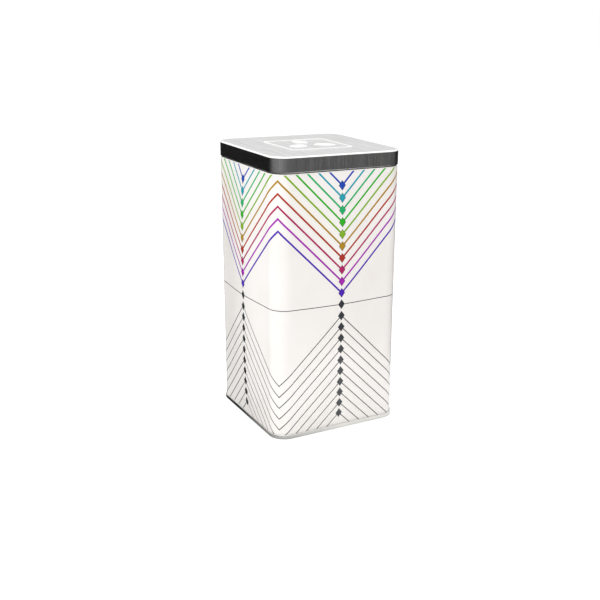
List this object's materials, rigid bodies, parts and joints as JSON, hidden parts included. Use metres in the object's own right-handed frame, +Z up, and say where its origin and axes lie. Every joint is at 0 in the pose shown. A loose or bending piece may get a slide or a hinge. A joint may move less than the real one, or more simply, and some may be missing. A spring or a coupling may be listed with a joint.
{
  "type": "coffee tin",
  "caption": "Square upright tinplate coffee tin with rounded corners, a double-seamed bottom end and a slip-over lid that lifts off.",
  "frame": {"origin": "centre of the tin's footprint, on the plane it stands on", "axes": "+Z up along the tin's height, the face with the coloured column of rhombi looks along -Y, +X to that face's right"},
  "size_m": [0.0996, 0.0996, 0.1923],
  "materials": {
    "white_lacquer": "glossy white lacquer with printed coloured lines",
    "plain_tinplate": "satin tinplate",
    "seam_lining": "matte lining compound",
    "brushed_tinplate": "brushed tinplate under clear lacquer"
  },
  "bodies": {
    "tin": {"body_wall": "white_lacquer", "bottom_end": "plain_tinplate", "seam_compound": "seam_lining"},
    "lid": {"lid_shell": "brushed_tinplate"}
  },
  "joints": [
    {"name": "lid_lift", "type": "slide", "parent": "tin", "child": "lid", "axis": [0, 0, 1], "range_m": [0, 0.06]}
  ]
}
